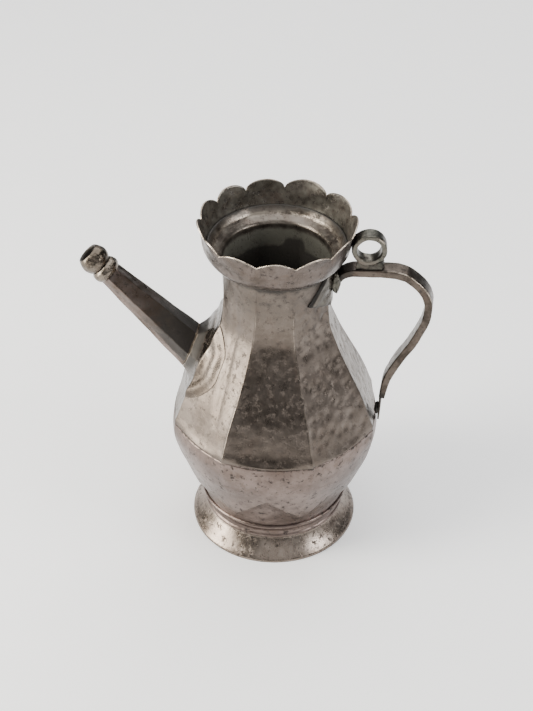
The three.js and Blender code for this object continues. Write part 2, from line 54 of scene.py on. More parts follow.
# ---- driving dimensions, in millimetres ----------------------------------------------------------
foot_low, foot_high = cad_span("foot_skirt")
AXIS_X = (foot_low[0] + foot_high[0]) / 2
FOOT_R = (foot_high[1] - foot_low[1]) / 2 - 0.2
WAIST_R = FOOT_R - 10.6
WAIST_Z = 16.0
BAND_TOP_Z = 28.0
WALL = 1.6
GAP = 0.3
FLOOR_Z = 22.0
GIRTH_Z = 100.0
GIRTH_R = 72.9
GIRTH_SAG = 0.8
NECK_R = 37.8
NECK_TOP_Z = 226.0
COLLAR_Z = 228.3
CUSP_Z = 250.3
NOTCHES = [8, 38, 68, 98, 129, 155, 182, 209, 237, 268, 304, 338]
SCALLOP_RISE = 6.0
SCALLOP_LEAN = 2.4
COLLAR_SAG = 1.6
COLLAR_OVAL = 0.6
PANELS = 8
FIRST_RIDGE = 18.5
RIDGE_SHIFT_LOW = [-4.0, -1.7, 3.0, 0.0, 0.0, 0.0, 0.0, 0.0]
RIDGE_SHIFT_HIGH = [-4.0, 1.0, -5.5, 0.0, 0.0, 0.0, 0.0, 0.0]

SPOUT_ROOT = (58.2, 144.9)
SPOUT_RISE = math.radians(45)
SPOUT_LENGTH = 79.0
SPOUT_ROOT_R = 15.2
SPOUT_TIP_R = 8.4
SPOUT_TWIST = math.radians(7)
SPOUT_WALL = 1.5
ROOT_TILT = math.radians(25)
ROOT_S = 1.5
BEAD_R = 9.9
BEAD_LENGTH = 8.0
BALL_R = 10.2
BALL_LENGTH = 12.6
BORE_R = 6.2

STRAP_WIDTH = 12.0
STRAP_THICK = 5.7
EYE_R = 11.7
EYE_BORE_R = 8.2
EYE_LENGTH = 10.0
EYE_TURN = math.radians(8)
EYE_INWARD = 0.8  # further in than the CAD node
eye_low, eye_high = cad_span("hinge_eye")
EYE_PLACE = ((eye_low[0] + eye_high[0]) / 2 - AXIS_X - EYE_INWARD, (eye_low[2] + eye_high[2]) / 2)

COLUMNS = 480  # steps round the vessel, a whole number to each panel and each scallop
BOWL_ROWS, BOWL_INNER_ROWS = 128, 20
SHOULDER_ROWS, FUNNEL_STEPS, DOWN_ROWS = 116, 46, 30
TUBE_COLUMNS, TUBE_ROWS, TUBE_INNER_ROWS = 240, 110, 16
TURNED_COLUMNS = 144

# a radius that turns an angle round a piece into the distance its hammer blows are spaced by
FOOT_ARC = 52
BOWL_ARC = 66
COLLAR_ARC = 48
TUBE_ARC = 11
MOUTH_ARC = 9.4
BAR_ARC = 4.0
EYE_ARC = 11


# ---- curves --------------------------------------------------------------------------------------
def smooth_curve(stops, at):
    """Cubic through [place, value] stops that doesn't overshoot: the slope at a stop is the harmonic
    mean of the slopes on its two sides, or nothing where they point different ways."""
    x, y = np.array(stops, float).T
    step = np.diff(x)
    slope = np.diff(y) / step
    product = slope[:-1] * slope[1:]
    total = np.where(product > 0, slope[:-1] + slope[1:], 1.0)
    inner = np.where(product > 0, 2 * product / total, 0.0)
    tangent = np.concatenate([slope[:1], inner, slope[-1:]])
    at = np.clip(at, x[0], x[-1])
    i = np.clip(np.searchsorted(x, at, side="right") - 1, 0, len(x) - 2)
    t = (at - x[i]) / step[i]
    return (
        y[i] * (2 * t**3 - 3 * t**2 + 1)
        + step[i] * tangent[i] * (t**3 - 2 * t**2 + t)
        + y[i + 1] * (3 * t**2 - 2 * t**3)
        + step[i] * tangent[i + 1] * (t**3 - t**2)
    )


def drawn_through(points, count, closed=False):
    """Points of any width taken as a route: every coordinate is a smooth curve of the distance
    walked along the route, read at evenly spaced distances."""
    points = np.array(points, float)
    if closed:
        points = np.vstack([points[-2:], points, points[:3]])
    walked = np.concatenate([[0], np.cumsum(np.linalg.norm(np.diff(points[:, :2], axis=0), axis=1))])
    first, last = (walked[2], walked[-3]) if closed else (walked[0], walked[-1])
    at = np.linspace(first, last, count, endpoint=not closed)
    columns = [smooth_curve(np.column_stack([walked, column]), at) for column in points.T]
    return np.column_stack(columns)


def ease(low, high, at):
    """Nothing below low, one above high, with a soft S between."""
    t = np.clip((at - low) / (high - low), 0, 1)
    return t * t * (3 - 2 * t)


def mound(at, middle, width):
    """A bell of height one about a middle."""
    return np.exp(-(((at - middle) / width) ** 2))


def scatter(i, j, seed):
    """A repeatable number from 0 to 1 for each lattice cell: the fraction left by a large sine."""
    value = np.sin(i * 127.1 + j * 311.7 + seed * 74.7) * 43758.5453
    return value - np.floor(value)


def hammer_marks(u, v, pitch, seed):
    """Overlapping round dishes: the squared distance, in pitches, from the nearest blow, where the
    blows are a square lattice with each one knocked off its place."""
    a, b = u / pitch, v / pitch
    near = np.full(np.broadcast(a, b).shape, 4.0)
    for di in (-1, 0, 1):
        for dj in (-1, 0, 1):
            i, j = np.floor(a) + di, np.floor(b) + dj
            across = i + 0.5 + 0.7 * (scatter(i, j, seed) - 0.5) - a
            along = j + 0.5 + 0.7 * (scatter(i, j, seed + 9) - 0.5) - b
            near = np.minimum(near, across**2 + along**2)
    return near


def unevenness(u, v, seed):
    """A slow wander of about one either way: five sine waves of different slants and lengths."""
    total = np.zeros(np.broadcast(u, v).shape)
    for k in range(5):
        p, q, phase = (scatter(k, n, seed) for n in (1, 2, 3))
        total = total + np.sin(u * (0.6 + 2.2 * p) + v * (0.5 + 2.4 * q) * (-1) ** k + TURN * phase)
    return total / 2.2


# ---- meshes --------------------------------------------------------------------------------------
def from_axis(r, angle, z):
    """Points at a distance from the vessel's axis, an angle from the handle and a height."""
    r, angle, z = np.broadcast_arrays(r, angle, z)
    return np.stack([AXIS_X + r * np.cos(angle), -r * np.sin(angle), z], axis=-1)


def by_runs(*runs):
    """One value to each ring, given as runs: how many rings, and the value they share."""
    counts, values = zip(*runs)
    return np.repeat(values, counts)[:, None]


def all_round(column):
    """A column with one value to each ring, repeated round the vessel."""
    return np.repeat(column, COLUMNS, axis=1)


def add_piece(name, node, material, rings, looped=False, wear_and_sheen=0.0, grime_and_shade=0.0, patina=0.0):
    """A closed skin over rings of points, which are rows of a grid. A looped grid joins its last row
    to its first, as a hollow wall does; an open one gets a fan of faces over each end."""
    rows, count = rings.shape[:2]
    points = rings.reshape(-1, 3)
    shades = [np.broadcast_to(value, (rows, count)).reshape(-1) for value in (wear_and_sheen, grime_and_shade, patina)]
    ring = np.arange(count)
    following = (ring + 1) % count
    lower = np.arange(rows if looped else rows - 1)[:, None] * count
    upper = (lower + count) % (rows * count)
    quads = np.stack([lower + ring, lower + following, upper + following, upper + ring], axis=-1)
    quads = quads.reshape(-1, 4)
    fans = np.zeros((0, 3), int)
    if not looped:
        ends = np.array([rings[0].mean(axis=0), rings[-1].mean(axis=0)])
        last = (rows - 1) * count
        start_hub, end_hub = len(points), len(points) + 1
        points = np.vstack([points, ends])
        shades = [np.concatenate([s, [s[:count].mean(), s[last : last + count].mean()]]) for s in shades]
        start = np.stack([np.full(count, start_hub), following, ring], axis=-1)
        end = np.stack([np.full(count, end_hub), last + ring, last + following], axis=-1)
        fans = np.vstack([start, end])
    a, b, c, d = (points[quads[:, k]] for k in range(4))
    volume = np.sum(a * np.cross(b, c)) + np.sum(a * np.cross(c, d))
    p, q, r = (points[fans[:, k]] for k in range(3))
    volume += np.sum(p * np.cross(q, r))
    if volume < 0:
        quads, fans = quads[:, ::-1], fans[:, ::-1]
    corners = np.concatenate([quads.reshape(-1), fans.reshape(-1)]).astype(np.int32)
    starts = np.concatenate([np.arange(len(quads)) * 4, len(quads) * 4 + np.arange(len(fans)) * 3])
    mesh = bpy.data.meshes.new(name)
    mesh.vertices.add(len(points))
    mesh.vertices.foreach_set("co", (points * MM).astype(np.float32).reshape(-1))
    mesh.loops.add(len(corners))
    mesh.loops.foreach_set("vertex_index", corners)
    mesh.polygons.add(len(starts))
    mesh.polygons.foreach_set("loop_start", starts.astype(np.int32))
    mesh.polygons.foreach_set("use_smooth", np.ones(len(starts), bool))
    mesh.update(calc_edges=True)
    mesh.validate()
    for label, values in zip(("wear_and_sheen", "grime_and_shade", "patina"), shades):
        attribute = mesh.attributes.new(label, "FLOAT", "POINT")
        attribute.data.foreach_set("value", np.clip(values, 0, 1).astype(np.float32))
    piece = bpy.data.objects.new(name, mesh)
    bpy.context.scene.collection.objects.link(piece)
    mesh.materials.append(material)
    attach(piece, "root")
    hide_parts(node)
    return piece


# ---- finishes ------------------------------------------------------------------------------------
class Value:
    """An output socket. The arithmetic operators on it add Math nodes."""

    def __init__(self, shade, socket):
        self.shade = shade
        self.socket = socket

    def math(self, operation, *values):
        return self.shade.node("ShaderNodeMath", {"operation": operation}, dict(enumerate(values)))

    def __add__(self, other):
        return self.math("ADD", self, other)

    def __sub__(self, other):
        return self.math("SUBTRACT", self, other)

    def __rsub__(self, other):
        return self.math("SUBTRACT", other, self)

    def __mul__(self, other):
        return self.math("MULTIPLY", self, other)

    def __pow__(self, other):
        return self.math("POWER", self, other)

    __radd__ = __add__
    __rmul__ = __mul__


class Shade:
    """A material's nodes, made one at a time by node()."""

    def __init__(self, name, **constants):
        self.material = bpy.data.materials.new(name)
        self.material.use_nodes = True
        self.tree = self.material.node_tree
        self.surface = self.tree.nodes["Principled BSDF"]
        for label, value in constants.items():
            self.surface.inputs[label.replace("_", " ")].default_value = value
        self.place = self.node("ShaderNodeTexCoord", out="Object")

    def put(self, socket, value):
        if isinstance(value, Value):
            self.tree.links.new(value.socket, socket)
        elif isinstance(value, tuple) and len(value) == 3 and socket.type == "RGBA":
            socket.default_value = (*value, 1.0)
        else:
            socket.default_value = value

    def node(self, kind, settings=None, values=None, out=0):
        made = self.tree.nodes.new(kind)
        for label, value in (settings or {}).items():
            setattr(made, label, value)
        for key, value in (values or {}).items():
            self.put(made.inputs[key], value)
        return Value(self, made.outputs[out])

    def feed(self, **sockets):
        for label, value in sockets.items():
            self.put(self.surface.inputs[label.replace("_", " ")], value)

    def noise(self, scale, detail=4.0, roughness=0.6, place=None):
        values = {"Vector": place or self.place, "Scale": scale, "Detail": detail, "Roughness": roughness}
        return self.node("ShaderNodeTexNoise", {"noise_dimensions": "3D"}, values)

    def rise(self, value, low, high):
        settings = {"interpolation_type": "SMOOTHSTEP", "clamp": True}
        values = {"Value": value, "From Min": low, "From Max": high}
        return self.node("ShaderNodeMapRange", settings, values)

    def mix(self, share, first, second, blend="MIX"):
        settings = {"data_type": "RGBA", "blend_type": blend, "clamp_factor": True}
        return self.node("ShaderNodeMix", settings, {0: share, 6: first, 7: second}, out=2)

    def attribute(self, name):
        return self.node("ShaderNodeAttribute", {"attribute_name": name}, out="Fac")


def tinned(name, pale, deep, polish=0.3, patch=34.0, dirt=0.75, pits=0.45):
    """Tinned metal gone dull: pale and deep tin in clouds, dark specks and brown stains sunk into it,
    near-black grime and painted shade, and grey-green patina, where a piece holds them, and pale bare
    metal where hands rub it, which also stands for painted highlights."""
    s = Shade(name)
    broad = s.noise(patch, 3.0, 0.55)
    middling = s.noise(patch * 5, 5.0, 0.62)
    fine = s.noise(1100.0, 4.0, 0.7)
    upright = s.node("ShaderNodeMapping", values={"Vector": s.place, "Scale": (1.0, 1.0, 0.07)})
    streak = s.noise(520.0, 3.0, 0.6, upright)
    cloud = s.rise(broad * 0.6 + middling * 0.4, 0.40, 0.62)
    speck = s.rise(s.noise(250.0, 5.0, 0.74), 0.55, 0.64)
    blotch = s.rise(s.noise(80.0, 5.0, 0.68), 0.54, 0.68)
    grime_and_shade, wear_and_sheen, patina = (s.attribute(label) for label in ("grime_and_shade", "wear_and_sheen", "patina"))
    # the pale mix is rubbed bare metal in some places and a painted highlight in others: ridges, ledge,
    # pleats
    rubbed_and_sheen = s.rise(wear_and_sheen + (middling - 0.5) * 0.5, 0.25, 0.75)
    # the near-black mix is real grime in some places and painted shade in others: bores, hollows, shaded
    # faces
    lodged_and_shaded = s.rise(grime_and_shade + (middling - 0.5) * 0.9, 0.25, 0.8)
    dulled = s.rise(patina + (middling - 0.5) * 0.7, 0.15, 0.85)
    colour = s.mix(cloud, deep, pale)
    colour = s.mix((fine - 0.5) * 0.6 + 0.12, colour, tuple(0.6 * c for c in deep))
    colour = s.mix(dulled, colour, (0.165, 0.160, 0.135))
    colour = s.mix(blotch * dirt * 0.6, colour, (0.110, 0.080, 0.064))
    colour = s.mix(speck * dirt, colour, (0.048, 0.040, 0.036))
    colour = s.mix(lodged_and_shaded * 0.93, colour, (0.026, 0.023, 0.020))
    colour = s.mix(rubbed_and_sheen * 0.85, colour, (0.62, 0.53, 0.43))
    rough = middling * 0.16 + streak * 0.12 + (polish - 0.14) + speck * 0.15 + lodged_and_shaded * 0.25 - rubbed_and_sheen * 0.06
    height = middling * 0.22 + streak * 0.22 + fine * 0.18 - speck * pits
    bump = s.node("ShaderNodeBump", values={"Strength": 0.35, "Distance": 0.0006, "Height": height})
    s.feed(Base_Color=colour, Roughness=rough, Normal=bump, Metallic=0.97 - dulled * 0.6 - lodged_and_shaded * 0.35)
    return s.material


body_tin = tinned("body_tin", (0.158, 0.132, 0.113), (0.103, 0.084, 0.070), polish=0.30, dirt=0.45)
bowl_tin = tinned("bowl_tin", (0.218, 0.171, 0.152), (0.132, 0.100, 0.087), polish=0.34, dirt=1.0)
foot_tin = tinned("foot_tin", (0.315, 0.264, 0.226), (0.205, 0.166, 0.138), polish=0.28, dirt=0.9)
collar_tin = tinned("collar_tin", (0.140, 0.115, 0.103), (0.078, 0.062, 0.052), polish=0.30, dirt=0.85)
apron_tin = tinned("apron_tin", (0.120, 0.100, 0.085), (0.070, 0.056, 0.045), polish=0.24, dirt=0.5)
spout_tin = tinned("spout_tin", (0.210, 0.163, 0.144), (0.085, 0.062, 0.048), polish=0.28, dirt=0.7)
ball_tin = tinned("ball_tin", (0.190, 0.162, 0.132), (0.100, 0.082, 0.064), polish=0.26, patch=60.0)
handle_tin = tinned("handle_tin", (0.108, 0.088, 0.074), (0.046, 0.037, 0.030), polish=0.30, patch=60.0)
eye_patina = tinned("eye_patina", (0.150, 0.140, 0.118), (0.060, 0.060, 0.050), polish=0.36, patch=80.0)
grey_solder = tinned("grey_solder", (0.170, 0.160, 0.135), (0.075, 0.072, 0.060), polish=0.40, patch=120.0)


# ---- the vessel's wall ---------------------------------------------------------------------------
BODY_STOPS = [
    (FLOOR_Z, 46.6), (24, 49), (30, 51.3), (40, 56.6), (60, 64.4), (78, 70.6), (92, 72.9),
    (GIRTH_Z, GIRTH_R - 1.3), (108, 69), (125, 62.5), (145, 53), (165, 43.9), (185, 37.6),
    (205, NECK_R - 1), (NECK_TOP_Z, NECK_R),
]
PANEL_STOPS = [
    (30, 0), (70, 0.2), (GIRTH_Z - 3, 0.45), (GIRTH_Z + 4, 1), (178, 1), (200, 0.6), (NECK_TOP_Z, 0),
]


def ridge_angles(z):
    """The angle of every ridge at a height, with the first one again at the end, a turn later."""
    share = ease(GIRTH_Z, 215, np.asarray(z, float))[..., None]
    shift = np.array(RIDGE_SHIFT_LOW) * (1 - share) + np.array(RIDGE_SHIFT_HIGH) * share
    angles = np.radians(FIRST_RIDGE + np.arange(PANELS) * 360 / PANELS + shift)
    return np.concatenate([angles, angles[..., :1] + TURN], axis=-1)


def wall_radius(angle, z):
    """A round section blended with one whose panels run straight from ridge to ridge."""
    angle, z = np.broadcast_arrays(np.asarray(angle, float), np.asarray(z, float))
    ridges = ridge_angles(z)
    angle = ridges[..., 0] + np.mod(angle - ridges[..., 0], TURN)
    panel = np.clip(np.sum(angle[..., None] >= ridges, axis=-1) - 1, 0, PANELS - 1)
    first = np.take_along_axis(ridges, panel[..., None], -1)[..., 0]
    second = np.take_along_axis(ridges, panel[..., None] + 1, -1)[..., 0]
    half = (second - first) / 2
    flat = np.cos(half) / np.cos(angle - first - half)
    mean = 0.5 * (1 + np.cos(half))
    return smooth_curve(BODY_STOPS, z) * (1 + smooth_curve(PANEL_STOPS, z) * (flat - mean))


def wall_columns(z):
    """Angles of a row's columns, an equal number to each panel so that one always lies on a ridge."""
    ridges = ridge_angles(z)
    steps = COLUMNS // PANELS
    share = np.arange(steps) / steps
    first, second = ridges[..., :-1, None], ridges[..., 1:, None]
    return (first + (second - first) * share).reshape(*np.shape(z), COLUMNS)


panel_of = np.repeat(np.arange(PANELS), COLUMNS // PANELS)
panel_share = np.tile(np.arange(COLUMNS // PANELS) / (COLUMNS // PANELS), PANELS)
from_ridge = np.minimum(panel_share, 1 - panel_share)


def girth_line():
    """Height of the lapped seam round the vessel: highest at the ridges, sagging along the panels."""
    return GIRTH_Z - GIRTH_SAG * np.sin(math.pi * panel_share) ** 2


def chevron_line():
    """Height of the folded line low on the bowl: a peak on each panel, a foot at each ridge."""
    return 38 + 26 * (1 - np.abs(2 * panel_share - 1))


# ---- foot ----------------------------------------------------------------------------------------
def turned_foot(outline, count, seed, dents=0.12):
    """A closed outline of radius and height carried round the axis, beaten a little uneven."""
    outline = drawn_through(outline, count, closed=True)
    angle = np.linspace(0, TURN, COLUMNS, endpoint=False)
    r, z = outline[:, 0, None], outline[:, 1, None]
    around = angle[None, :]
    r = r + dents * unevenness(3 * np.cos(around) + 3 * np.sin(around), z * 0.12, seed)
    marks = hammer_marks(around * FOOT_ARC, z, 9.0, seed)
    r = r - 0.10 * marks * ease(1.5, 4, z) * np.sin(around / 2) ** 0.5
    return from_axis(r, around, z)


skirt = turned_foot(
    [
        (FOOT_R, 0.0), (FOOT_R + 0.2, 0.7), (FOOT_R + 0.1, 1.5), (FOOT_R - 1.2, 3.4),
        (55, 6.4), (51.4, 10.8), (49.2, 14), (WAIST_R, WAIST_Z - 0.4), (WAIST_R - 0.6, WAIST_Z),
        (WAIST_R - WALL, WAIST_Z + 0.4), (WAIST_R - WALL - 0.2, FLOOR_Z - GAP - 0.4),
        (WAIST_R - WALL - 0.6, FLOOR_Z - GAP), (WAIST_R - 2 * WALL, FLOOR_Z - GAP),
        (WAIST_R - 2 * WALL - 0.2, WAIST_Z), (49.4, 10.6), (53.2, 5.8), (FOOT_R - 5, 2),
        (FOOT_R - 5, 0.3), (FOOT_R - 4.8, 0.0),
    ],
    120,
    3,
)
skirt[..., 2] = np.maximum(skirt[..., 2], 0)
near_bench = mound(skirt[..., 2], 0, 1.4)
at_waist = mound(skirt[..., 2], WAIST_Z, 1.6)
# darker along the foot's lower edge and round the waist
skirt_darkening = 0.55 * near_bench + 0.5 * at_waist
add_piece("raised_foot", "foot_skirt", foot_tin, skirt, True, grime_and_shade=skirt_darkening)

band = turned_foot(
    [
        (WAIST_R + 0.3, WAIST_Z), (WAIST_R + 1.3, WAIST_Z + 0.4), (WAIST_R + 1.8, WAIST_Z + 1.2),
        (WAIST_R + 1.5, WAIST_Z + 2.2), (WAIST_R + 0.7, WAIST_Z + 3.2), (WAIST_R + 0.8, WAIST_Z + 5.4),
        (WAIST_R + 1.4, BAND_TOP_Z - 4.4), (WAIST_R + 2.3, BAND_TOP_Z - 2.8),
        (WAIST_R + 3.4, BAND_TOP_Z - 1.8), (WAIST_R + 3.8, BAND_TOP_Z - 0.9),
        (WAIST_R + 3.4, BAND_TOP_Z + 0.1), (WAIST_R + 2.2, BAND_TOP_Z + 0.7),
        (WAIST_R + 0.9, BAND_TOP_Z + 0.2), (WAIST_R - 0.3, 24.4), (WAIST_R - 1.1, 21.2),
        (WAIST_R - 1.1, WAIST_Z + 0.2),
    ],
    90,
    5,
    0.08,
)
in_groove = mound(band[..., 2], WAIST_Z + 4.2, 1.3)
# darker in the band's groove
add_piece("foot_moulding", "foot_band", bowl_tin, band, True, grime_and_shade=0.35 * in_groove)

# ---- bowl ----------------------------------------------------------------------------------------
share = np.linspace(0, 1, BOWL_ROWS)[:, None]
bowl_top = girth_line()[None, :] - GAP / 2
bowl_z = FLOOR_Z + (bowl_top - FLOOR_Z) * share
bowl_angle = wall_columns(np.full(BOWL_ROWS, GIRTH_Z))
FOLD_DEPTH, FOLD_SOFTNESS = 1.8, 0.8
below_fold = np.logaddexp(0, (chevron_line() - bowl_z) / FOLD_SOFTNESS) * FOLD_SOFTNESS
arc = bowl_angle * BOWL_ARC
fold = FOLD_DEPTH * (1 - np.exp(-below_fold / 6)) * ease(28, 40, bowl_z)
lip = 0.22 * mound(bowl_z, bowl_top - 1.0, 1.0)
bowl_marks = 0.30 * hammer_marks(arc, bowl_z, 8.5, 11)
bowl_marks = bowl_marks + 0.25 * unevenness(bowl_angle * 3, bowl_z / 16, 4)
bowl_r = wall_radius(bowl_angle, bowl_z) - fold - bowl_marks * ease(26, 34, bowl_z) + lip
bowl_r = np.minimum(bowl_r, wall_radius(bowl_angle, bowl_z) + 0.25)
edge_round = 0.25 * mound(bowl_z, bowl_top, 0.4)
outer = from_axis(bowl_r - edge_round, bowl_angle, bowl_z)
inner_z = np.linspace(GIRTH_Z - GIRTH_SAG - 2, 24, BOWL_INNER_ROWS)[:, None]
inner_angle = wall_columns(np.full(BOWL_INNER_ROWS, GIRTH_Z))
inner = from_axis(wall_radius(inner_angle, inner_z) - WALL - 1.2, inner_angle, inner_z)
pit_clumps = ease(-0.1, 0.7, unevenness(arc / 2.2, bowl_z / 2, 21))
pitted = 0.65 * mound(bowl_z, bowl_top - 0.6, 1.8) * pit_clumps
fold_clumps = ease(-0.3, 0.3, unevenness(arc / 7, bowl_z / 9, 8))
in_fold = 0.85 * mound(bowl_z, chevron_line(), 0.9) * fold_clumps
# dark pits along the seam and dirt in the fold are real; the bowl's inside drawn half dark is painted shade
bowl_grime_and_shade = np.vstack([np.clip(pitted + in_fold, 0, 1), np.full((BOWL_INNER_ROWS, COLUMNS), 0.5)])
add_piece("bowl", "lower_body", bowl_tin, np.vstack([outer, inner]), grime_and_shade=bowl_grime_and_shade)

# ---- shoulder and neck ---------------------------------------------------------------------------
share = np.linspace(0, 1, SHOULDER_ROWS)[:, None]
low = girth_line()[None, :] - 2 * GAP
shoulder_z = low + (NECK_TOP_Z - low) * share
row_z = GIRTH_Z + (NECK_TOP_Z - GIRTH_Z) * share[:, 0]
shoulder_angle = wall_columns(row_z)
arc = (panel_share - 0.5) * 46 * smooth_curve(BODY_STOPS, shoulder_z) / 60
BLOW_DEPTH = [0.60, 0.16, 0.10, 0.2, 0.35, 0.35, 0.35, 0.4]  # one to each panel
PANEL_APART = 200  # keeps one panel's blows from following on into the next
beaten = np.array(BLOW_DEPTH)[panel_of]
on_panel = ease(0.0, 0.05, from_ridge) * ease(GIRTH_Z + 3, GIRTH_Z + 12, shoulder_z)
on_panel = on_panel * (1 - ease(196, 214, shoulder_z))
dished = np.exp(-11 * hammer_marks(arc + PANEL_APART * panel_of, shoulder_z * 0.85, 8.2, 2))
wander = 0.12 * unevenness(shoulder_angle * 3, shoulder_z / 26, 6)
wander = wander * ease(GIRTH_Z, GIRTH_Z + 14, shoulder_z)
below_neck = 1 - ease(196, 216, shoulder_z)
ridge_bead = 0.15 * mound(from_ridge, 0, 0.028) * ease(GIRTH_Z + 2, 118, shoulder_z) * below_neck
crease_line = np.radians(smooth_curve([(100, 120), (135, 124), (184, 130), (226, 131)], shoulder_z))
from_crease = (shoulder_angle - crease_line) * smooth_curve(BODY_STOPS, shoulder_z)
crease_run = ease(112, 130, shoulder_z) * below_neck
crease = (0.45 * mound(from_crease, 0, 2.8) - 0.25 * mound(from_crease, 6.5, 4.0)) * crease_run
DENT_ANGLE, DENT_Z = math.radians(164), 117
from_dent = np.hypot((shoulder_angle - DENT_ANGLE) * BOWL_ARC, (shoulder_z - DENT_Z) * 0.8)
crease = crease + 1.1 * mound(from_dent, 0, 8.5)
shoulder_r = (
    wall_radius(shoulder_angle, shoulder_z)
    - beaten * dished * on_panel
    + wander
    + ridge_bead
    - crease
)
shoulder_r = np.minimum(shoulder_r, wall_radius(shoulder_angle, shoulder_z) + 0.45)
shoulder_r = shoulder_r - 0.45 * ease(GIRTH_Z, GIRTH_Z + 8, shoulder_z)
shoulder_r = shoulder_r - 0.12 * mound(shoulder_z, low, 0.5)
outer = from_axis(shoulder_r, shoulder_angle, shoulder_z)

funnel = drawn_through(
    [
        (NECK_R, NECK_TOP_Z), (38.3, 227.6), (38.9, 228.8), (40.2, 230.1), (43.3, 232.4), (45.0, 234.6),
        (46.3, 236.8), (46.5, 237.8), (45.6, 237.9), (44.2, 236.0), (42.4, 233.2), (39.8, 231.2),
        (37.8, 229.8), (36.5, 228.2), (NECK_R - WALL, NECK_TOP_Z),
    ],
    FUNNEL_STEPS,
)[1:]
funnel_r, funnel_z = funnel[:, 0, None], funnel[:, 1, None]
round_angle = wall_columns(np.full(len(funnel), NECK_TOP_Z))
funnel_uneven = 0.18 * unevenness(round_angle * 5, funnel_z / 5, 15) * mound(funnel_z, 233, 4)
funnel_rings = from_axis(funnel_r + funnel_uneven, round_angle, funnel_z)
down_low, down_high = GIRTH_Z + 1, NECK_TOP_Z - 3
down_z = (down_low + (down_high - down_low) * np.linspace(1, 0, DOWN_ROWS) ** 1.8)[:, None]
down_angle = wall_columns(down_z[:, 0])
down = from_axis(wall_radius(down_angle, down_z) - WALL - 0.4, down_angle, down_z)
lap_z = np.array([GIRTH_Z - 3, GIRTH_Z - 6.5, GIRTH_Z - 6.5, GIRTH_Z - 2.4])[:, None]
lap_in = np.array([3.4, 3.4, 2.2, 2.2])[:, None]
lap_angle = wall_columns(np.full(len(lap_z), GIRTH_Z))
lap = from_axis(wall_radius(lap_angle, lap_z) - lap_in, lap_angle, lap_z)
rings = np.vstack([outer, funnel_rings, down, lap])
lap_clumps = ease(-0.4, 0.5, unevenness(shoulder_angle * 30, shoulder_z / 3, 22))
seam_pits_and_neck_darkening = 0.45 * mound(shoulder_z, low, 1.2) * lap_clumps
# darker where the neck meets the collar, and darker up the neck from 172 to 212
seam_pits_and_neck_darkening = seam_pits_and_neck_darkening + 0.45 * mound(shoulder_z, NECK_TOP_Z + 1, 3)
seam_pits_and_neck_darkening = seam_pits_and_neck_darkening + 0.42 * ease(172, 212, shoulder_z)
# paler along each ridge: rubbed tin, and a painted highlight on the ridge line
ridge_wear_and_highlight = 0.42 * mound(from_ridge, 0, 0.014) * ease(GIRTH_Z + 2, 112, shoulder_z)
ridge_wear_and_highlight = ridge_wear_and_highlight * (1 - ease(200, 220, shoulder_z))
at_collar = mound(funnel_r, 46.6, 2.4)
# darker where the funnel meets the collar wall
funnel_darkening = all_round(0.15 + 0.8 * at_collar)
# painted highlight: a pale band all round the ledge
funnel_ledge_highlight = all_round(0.4 * mound(funnel_z, 233.4, 2.2) * (funnel_r < 44.4))
# painted shade: inside the neck goes black below a ragged line, and the lap inside is black too
ragged = 214 + 4 * unevenness(down_angle * 5, 0, 19)
inside_painted_shade = 1 - ease(ragged - 2, ragged + 2, down_z)
add_piece(
    "shoulder_and_neck",
    "upper_body",
    body_tin,
    rings,
    True,
    wear_and_sheen=np.vstack([ridge_wear_and_highlight, funnel_ledge_highlight, np.zeros((len(down) + len(lap), COLUMNS))]),
    grime_and_shade=np.vstack([seam_pits_and_neck_darkening, funnel_darkening, inside_painted_shade, np.ones((len(lap), COLUMNS))]),
    patina=by_runs((len(outer), 0), (len(funnel), 0.35), (len(down) + len(lap), 0.9)),
)

# ---- scalloped collar ----------------------------------------------------------------------------
COLLAR_STOPS = [(0, 40.6), (0.05, 42.3), (0.12, 44.4), (0.34, 47.7), (0.65, 49.4), (1, 50.3)]


def collar_rings(shares, inset):
    """The cup flares from its lower edge to the notches. Each scallop is an arch between two notches,
    a sine raised to a power that makes it fuller at the far side. Only the cup's upper part follows
    it, and it leans out at its crown."""
    shares = np.asarray(shares)[:, None]
    steps = COLUMNS // len(NOTCHES)
    across = np.tile(np.arange(steps) / steps, len(NOTCHES))
    first = np.repeat(NOTCHES, steps)
    second = np.repeat(NOTCHES[1:] + [NOTCHES[0] + 360], steps)
    angle = np.radians(first + (second - first) * across)
    roundness = 0.88 - 0.38 * ease(-0.6, 0.8, -np.cos(angle - math.radians(98)))
    lobe = np.sin(math.pi * across) ** roundness
    r = smooth_curve(COLLAR_STOPS, shares)
    sag = COLLAR_SAG * ease(0.3, 1, np.cos(angle - math.radians(225)) * shares)
    z = COLLAR_Z + shares * (CUSP_Z - COLLAR_Z) + shares**3 * lobe * SCALLOP_RISE - sag
    dents = 0.3 * unevenness(angle * 4, z / 6, 31) + 0.2 * hammer_marks(angle * COLLAR_ARC, z, 7.5, 17)
    r = r + shares**4 * SCALLOP_LEAN * lobe - dents * ease(0, 0.2, shares)
    r = r + COLLAR_OVAL * np.cos(2 * angle) * shares
    return from_axis(r - inset, angle[None, :], z + inset * 0.6)


shares = np.concatenate([np.linspace(0, 0.2, 14)[:-1], np.linspace(0.2, 1, 46)])
back_shares = np.concatenate([[0.985], np.linspace(0.96, 0.2, 30), np.linspace(0.2, 0, 8)[1:]])
outside = collar_rings(shares, 0)
top = collar_rings([1.0], 0.5)
inside = collar_rings(back_shares, 1.0)
up_front, down_back = shares[:, None], back_shares[:, None]
collar_wear = np.vstack([0.7 * mound(up_front, 1, 0.015), [[0.6]], 0.4 * mound(down_back, 1, 0.02)])
